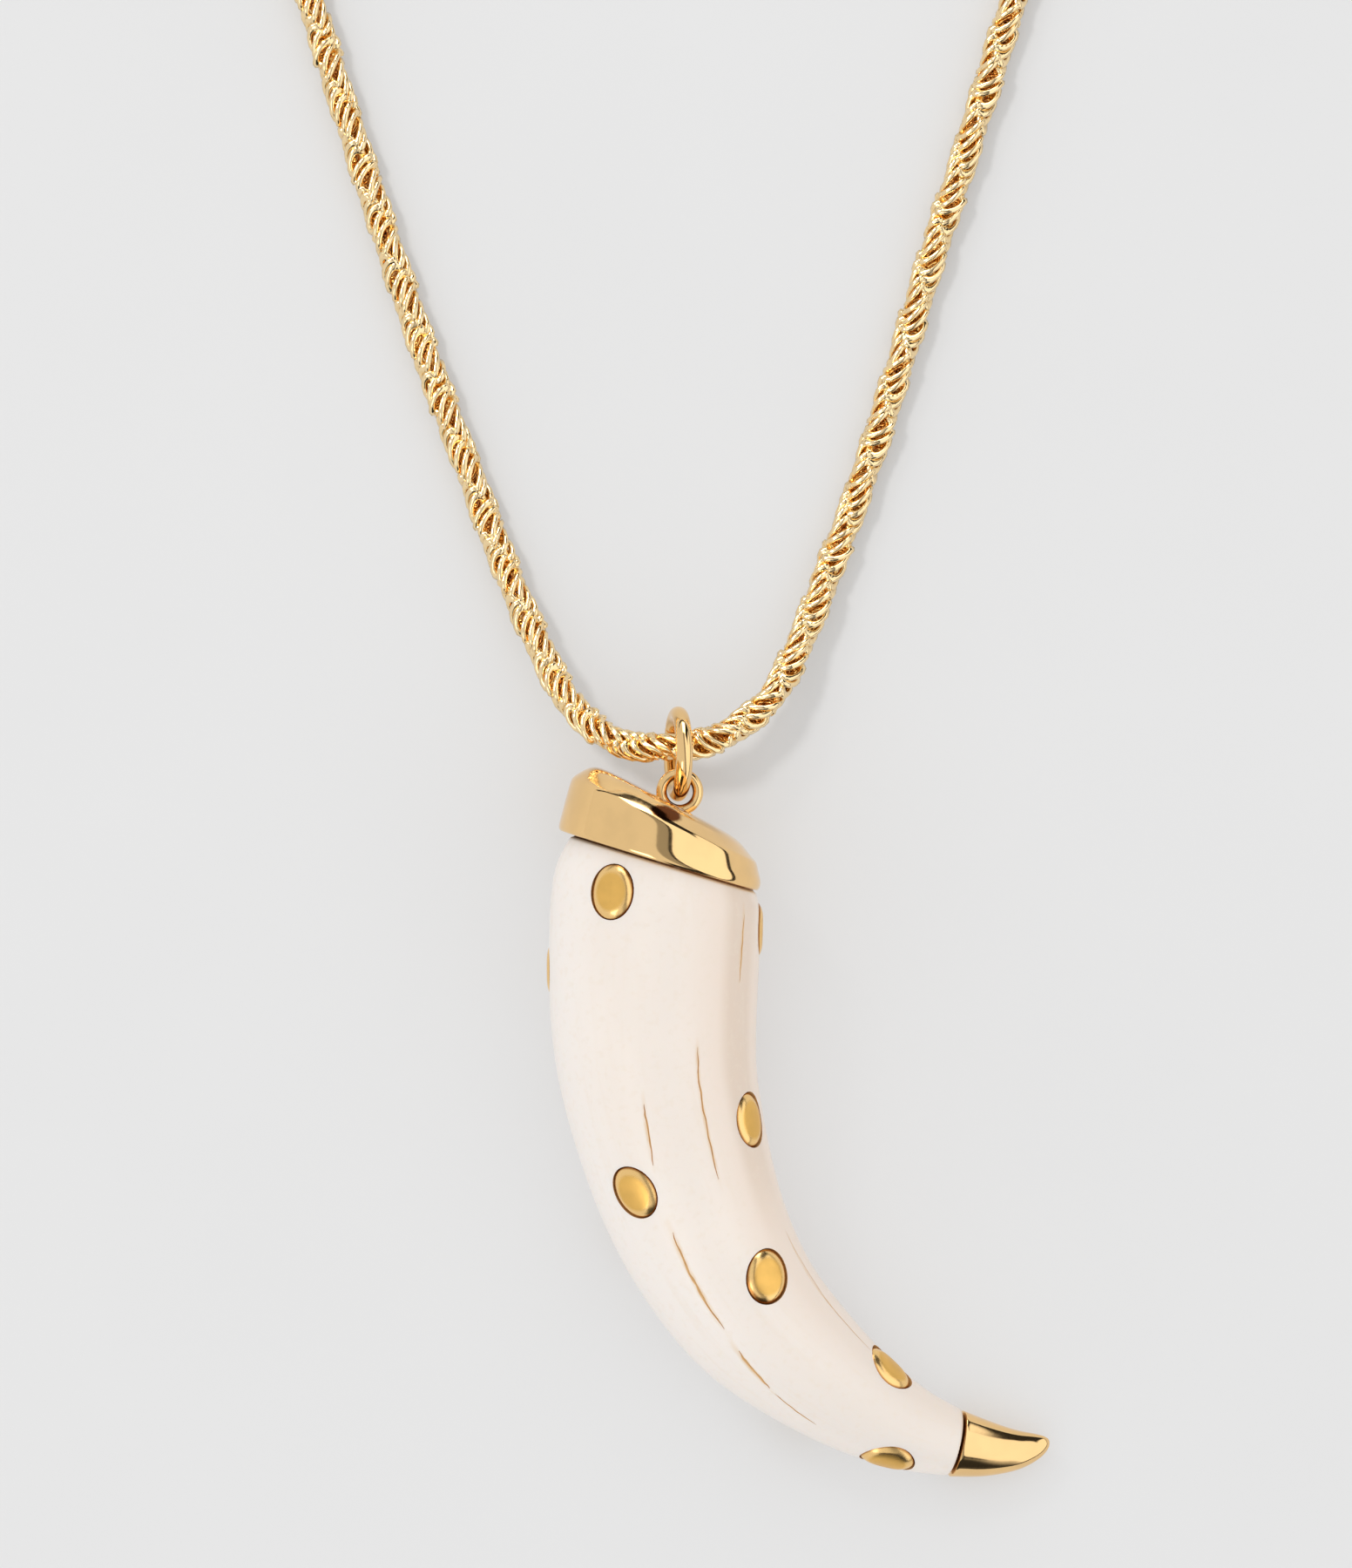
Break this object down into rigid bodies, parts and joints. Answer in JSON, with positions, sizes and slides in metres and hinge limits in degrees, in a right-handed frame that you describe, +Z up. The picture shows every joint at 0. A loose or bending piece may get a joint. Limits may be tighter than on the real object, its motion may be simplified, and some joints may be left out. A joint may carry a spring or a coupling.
{
  "type": "horn pendant necklace",
  "caption": "Rope chain necklace with a curved ivory-coloured horn pendant, inlaid metal studs, a slanted metal cap, a metal tip and a jump ring.",
  "frame": {"origin": "on the surface that the necklace lies on, under the middle of its bounding box", "axes": "+Z up out of the surface, towards the viewer; +Y from the pendant to the clasp, along the necklace's length; +X to the wearer's left, the way the horn's tip points"},
  "size_m": [0.1446, 0.3211, 0.018],
  "materials": {
    "gold_chain": "polished light gold plating",
    "gold_polished": "polished light gold plating",
    "gold_satin": "satin brass",
    "ivory_resin": "glossy ivory-coloured resin with fine brown cracks"
  },
  "bodies": {
    "root": {"chain": "gold_chain", "clasp": "gold_polished", "jump_ring": "gold_polished", "cap": "gold_polished", "horn": "ivory_resin", "tip_cap": "gold_polished", "stud_1": "gold_satin", "stud_2": "gold_satin", "stud_3": "gold_satin", "stud_4": "gold_satin", "stud_5": "gold_satin", "stud_6": "gold_satin", "stud_7": "gold_satin", "stud_8": "gold_satin", "stud_9": "gold_satin", "stud_10": "gold_satin", "stud_11": "gold_satin", "stud_12": "gold_satin"}
  },
  "joints": []
}
